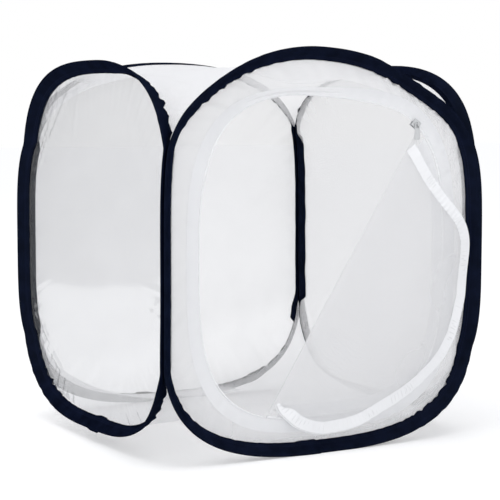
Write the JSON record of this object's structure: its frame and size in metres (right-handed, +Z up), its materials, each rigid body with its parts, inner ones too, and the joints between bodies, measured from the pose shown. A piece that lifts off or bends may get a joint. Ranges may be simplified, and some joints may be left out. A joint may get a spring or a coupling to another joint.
{
  "type": "pop_up_mesh_insect_cage",
  "caption": "Pop-up insect cage: sprung hoops in navy tape casings, white mesh and clear walls, and a large zipped front door folded half open",
  "frame": {"origin": "the ground under the middle of the cage", "axes": "+Z up, the zipped door faces -Y, the clear window faces -X"},
  "size_m": [0.38, 0.3666, 0.4017],
  "materials": {
    "navy_tape": "navy woven binding tape folded over a wire hoop",
    "white_mesh": "fine white knitted mesh, see-through",
    "white_cloth": "plain white polyester cloth",
    "clear_sheet": "clear soft vinyl sheet, glossy, with soft creases",
    "spring_steel": "flat spring steel wire and crimped sleeve",
    "zip_white": "white zip tape and nylon coil",
    "pale_metal": "pale enamelled slider and pull"
  },
  "bodies": {
    "front_wall": {"front_casing": "navy_tape", "front_spring": "spring_steel", "front_spring_sleeve": "spring_steel", "front_mesh": "white_mesh", "zip_frame_tape": "zip_white", "zip_frame_coil": "zip_white", "zip_closed_coil": "zip_white", "zip_door_tape": "zip_white", "door_lower_mesh": "white_mesh", "top_cover": "white_cloth", "floor_cover": "white_cloth"},
    "left_wall": {"left_casing": "navy_tape", "left_spring": "spring_steel", "left_spring_sleeve": "spring_steel", "left_window": "clear_sheet"},
    "right_wall": {"right_casing": "navy_tape", "right_spring": "spring_steel", "right_spring_sleeve": "spring_steel", "right_mesh": "white_mesh"},
    "back_wall": {"back_casing": "navy_tape", "back_spring": "spring_steel", "back_spring_sleeve": "spring_steel", "back_mesh": "white_mesh"},
    "door_flap": {"door_flap_mesh": "white_mesh", "door_flap_tape": "zip_white", "door_flap_coil": "zip_white"},
    "slider": {"zip_slider": "pale_metal"},
    "pull": {"zip_pull": "pale_metal"}
  },
  "joints": [
    {"name": "left_wall_fold", "type": "hinge", "parent": "front_wall", "child": "left_wall", "pos_m": [-0.16443, -0.15443, 0.19048], "axis": [0, 0, -1], "range_deg": [0, 88], "stiffness_Nm_per_rad": 0.3, "deforming": ["top_cover", "floor_cover"]},
    {"name": "right_wall_fold", "type": "hinge", "parent": "front_wall", "child": "right_wall", "pos_m": [0.18914, -0.17914, 0.19048], "axis": [0, 0, -1], "range_deg": [0, 88]},
    {"name": "back_wall_fold", "type": "hinge", "parent": "left_wall", "child": "back_wall", "pos_m": [-0.18914, 0.17914, 0.19048], "axis": [0, 0, 1], "range_deg": [0, 88]},
    {"name": "door_flap_fold", "type": "hinge", "parent": "front_wall", "child": "door_flap", "pos_m": [0.1108, -0.16886, 0.32135], "axis": [-0.5412, 0, -0.8409], "range_deg": [0, 180]},
    {"name": "slider_travel", "type": "hinge", "parent": "front_wall", "child": "slider", "pos_m": [0.042, -0.16661, 0.23422], "axis": [0, -1, 0], "range_deg": [0, 18]},
    {"name": "pull_swing", "type": "hinge", "parent": "slider", "child": "pull", "pos_m": [0.10619, -0.17161, 0.32598], "axis": [-1, 0, 0], "range_deg": [0, 160]}
  ],
  "couplings": [
    {"joint": "right_wall_fold", "follows": "left_wall_fold", "ratio": 1},
    {"joint": "back_wall_fold", "follows": "left_wall_fold", "ratio": 1}
  ]
}
